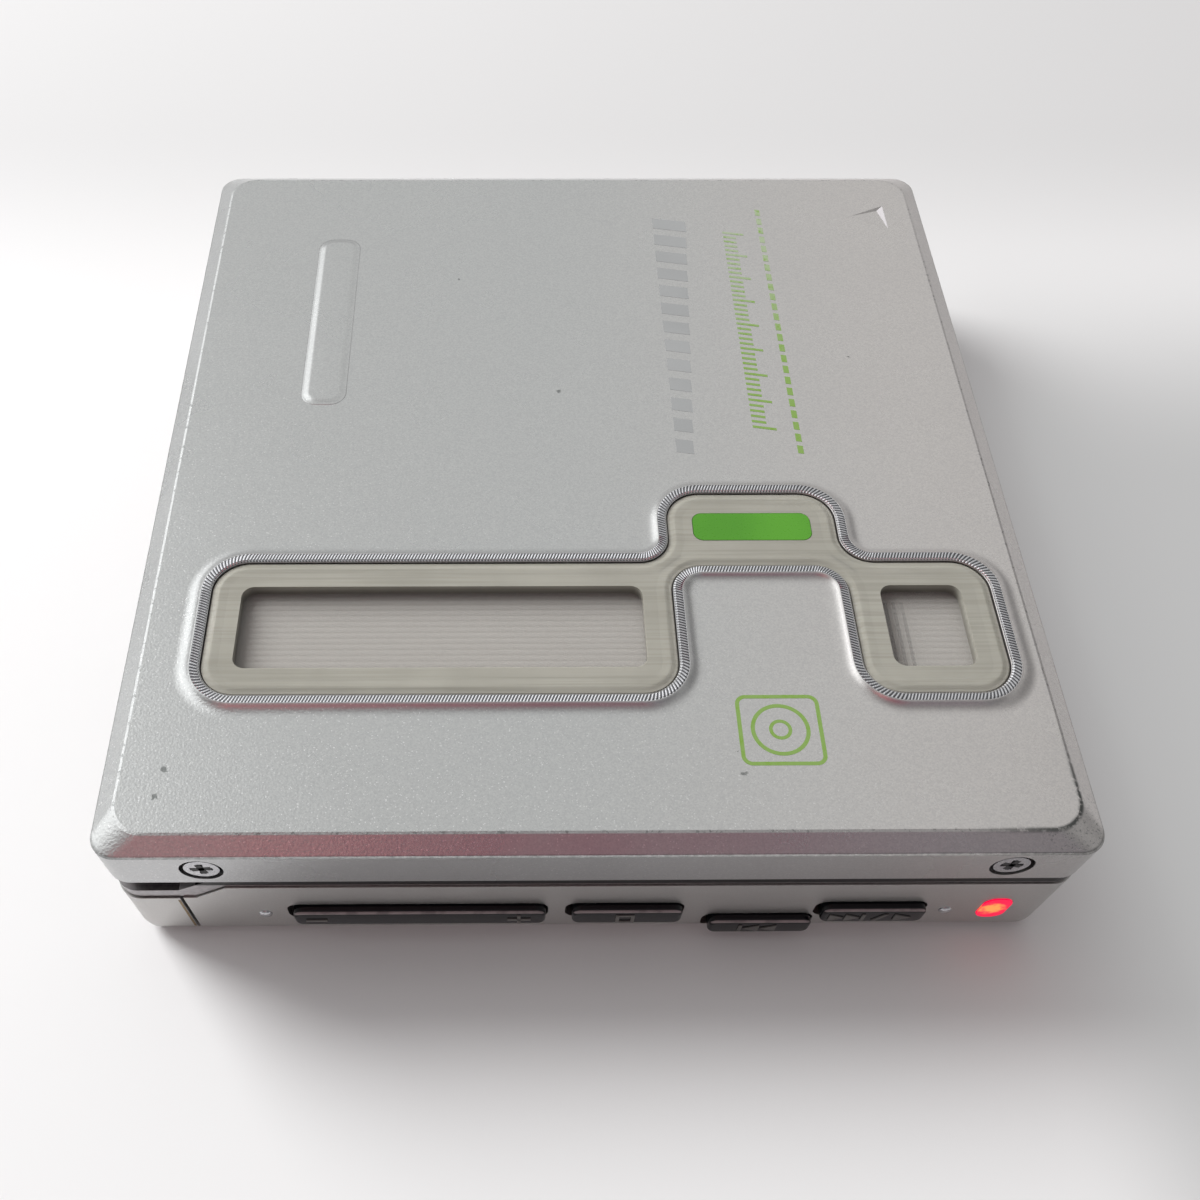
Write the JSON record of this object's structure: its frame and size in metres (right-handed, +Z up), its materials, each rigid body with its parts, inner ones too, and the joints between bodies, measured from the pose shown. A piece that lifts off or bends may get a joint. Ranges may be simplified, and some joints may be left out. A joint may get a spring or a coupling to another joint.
{
  "type": "portable minidisc player",
  "caption": "Pocket minidisc player: square silver body with a hinged lid that carries the cartridge, a window inlay in the lid, front buttons, and a disc drive in the base.",
  "frame": {"origin": "middle of the underside of the base", "axes": "+X to the right (open end of the lid), +Y from the buttons to the jacks, +Z up"},
  "size_m": [0.0806, 0.0874, 0.0174],
  "materials": {
    "lid_silver": "satin bead-blasted silver",
    "body_silver": "satin silver paint",
    "strip_silver": "satin silver paint",
    "bezel_milky": "milky translucent",
    "pane_clear": "clear ribbed plastic",
    "green_plastic": "bright green",
    "black_plastic": "black",
    "button_black": "dark grey, half gloss",
    "sheet_steel": "bright",
    "pin_steel": "polished",
    "cartridge_grey": "pale grey",
    "label_paper": "white",
    "disc_coat": "mirror coated",
    "board_green": "lacquered",
    "chip_black": "black",
    "cell_wrap": "steel can",
    "contact_brass": "plated",
    "white_plastic": "white",
    "lamp_red": "glowing red",
    "lens_glass": "clear",
    "plate_grey": "plain"
  },
  "bodies": {
    "base": {"base_shell": "body_silver", "mid_frame": "strip_silver", "chassis_plate": "sheet_steel", "chassis_screws": "pin_steel", "base_screws": "pin_steel", "locating_pins": "pin_steel", "main_board": "board_green", "board_chips": "chip_black", "battery": "cell_wrap", "battery_contact": "contact_brass", "headphone_jack": "black_plastic", "power_inlet": "black_plastic", "button_board": "board_green", "tact_switches": "white_plastic", "led_lens": "lamp_red", "front_pins": "pin_steel", "rocker_pin": "pin_steel", "spindle_motor": "sheet_steel", "guide_rod": "pin_steel", "rod_brackets": "white_plastic", "idler_pin": "pin_steel", "sled_motor": "sheet_steel", "hinge_pins": "pin_steel", "door_pin": "pin_steel", "rating_plate": "plate_grey"},
    "lid": {"lid_shell": "lid_silver", "window_bezel": "bezel_milky", "window_pane_long": "pane_clear", "window_pane_short": "pane_clear", "green_inlay": "green_plastic", "lid_inner_frame": "black_plastic", "disc_holder": "sheet_steel", "lid_screws": "pin_steel", "lid_catch": "sheet_steel", "cartridge_upper_shell": "cartridge_grey", "cartridge_lower_shell": "cartridge_grey", "cartridge_shutter": "sheet_steel", "cartridge_label": "label_paper"},
    "disc": {"disc": "disc_coat", "disc_hub_plate": "sheet_steel"},
    "spindle": {"turntable": "sheet_steel", "spindle_shaft": "pin_steel"},
    "pickup": {"pickup_block": "black_plastic"},
    "lens": {"lens_holder": "black_plastic", "objective_lens": "lens_glass"},
    "lead_screw": {"lead_screw": "pin_steel", "lead_screw_gear": "white_plastic"},
    "idler": {"idler_gear": "white_plastic"},
    "pinion": {"motor_pinion": "contact_brass"},
    "volume_rocker": {"volume_rocker": "button_black"},
    "stop_button": {"stop_button": "button_black"},
    "previous_button": {"previous_button": "button_black"},
    "play_button": {"play_button": "button_black"},
    "hold_switch": {"hold_switch": "button_black"},
    "open_slider": {"open_slider": "body_silver", "latch_bar": "sheet_steel"},
    "battery_door": {"battery_door": "body_silver", "door_contact": "contact_brass"}
  },
  "joints": [
    {"name": "lid_hinge", "type": "hinge", "parent": "base", "child": "lid", "pos_m": [-0.03855, 0, 0.0104], "axis": [0, -1, 0], "range_deg": [0, 60]},
    {"name": "disc_spin", "type": "hinge", "parent": "lid", "child": "disc", "pos_m": [0.00275, 0, 0.0126], "axis": [0, 0, 1], "continuous": true},
    {"name": "spindle_spin", "type": "hinge", "parent": "base", "child": "spindle", "pos_m": [0.00275, 0, 0.009], "axis": [0, 0, 1], "continuous": true},
    {"name": "pickup_slide", "type": "slide", "parent": "base", "child": "pickup", "axis": [0, 1, 0], "range_m": [0, 0.015]},
    {"name": "lens_focus", "type": "slide", "parent": "pickup", "child": "lens", "axis": [0, 0, 1], "range_m": [-0.0003, 0.0003], "stiffness_N_per_m": 60},
    {"name": "lead_screw_turn", "type": "hinge", "parent": "base", "child": "lead_screw", "pos_m": [-0.00975, 0.02, 0.0053], "axis": [0, 1, 0], "range_deg": [-1, 3601]},
    {"name": "idler_turn", "type": "hinge", "parent": "base", "child": "idler", "pos_m": [-0.01375, 0.0057, 0.0053], "axis": [0, 1, 0], "range_deg": [-2801, 1]},
    {"name": "pinion_turn", "type": "hinge", "parent": "base", "child": "pinion", "pos_m": [-0.01725, 0.0057, 0.0053], "axis": [0, 1, 0], "range_deg": [-1, 5041]},
    {"name": "volume_rock", "type": "hinge", "parent": "base", "child": "volume_rocker", "pos_m": [-0.01495, -0.0412, 0.00495], "axis": [0, 0, 1], "range_deg": [-2.5, 2.5], "stiffness_Nm_per_rad": 0.35},
    {"name": "stop_press", "type": "slide", "parent": "base", "child": "stop_button", "axis": [0, 1, 0], "range_m": [0, 0.0006], "stiffness_N_per_m": 1500},
    {"name": "previous_press", "type": "slide", "parent": "base", "child": "previous_button", "axis": [0, 1, 0], "range_m": [0, 0.0006], "stiffness_N_per_m": 1500},
    {"name": "play_press", "type": "slide", "parent": "base", "child": "play_button", "axis": [0, 1, 0], "range_m": [0, 0.0006], "stiffness_N_per_m": 1500},
    {"name": "hold_slide", "type": "slide", "parent": "base", "child": "hold_switch", "axis": [1, 0, 0], "range_m": [0, 0.003]},
    {"name": "open_slide", "type": "slide", "parent": "base", "child": "open_slider", "axis": [0, 1, 0], "range_m": [0, 0.003], "stiffness_N_per_m": 300},
    {"name": "battery_door_hinge", "type": "hinge", "parent": "base", "child": "battery_door", "pos_m": [-0.03815, -0.0192, 0.004], "axis": [0, 0, -1], "range_deg": [0, 100]}
  ],
  "couplings": [
    {"joint": "spindle_spin", "follows": "disc_spin", "ratio": 1},
    {"joint": "lead_screw_turn", "follows": "pickup_slide", "rad_per_m": 4188.8},
    {"joint": "idler_turn", "follows": "pickup_slide", "rad_per_m": -3257.9},
    {"joint": "pinion_turn", "follows": "pickup_slide", "rad_per_m": 5864.3}
  ]
}
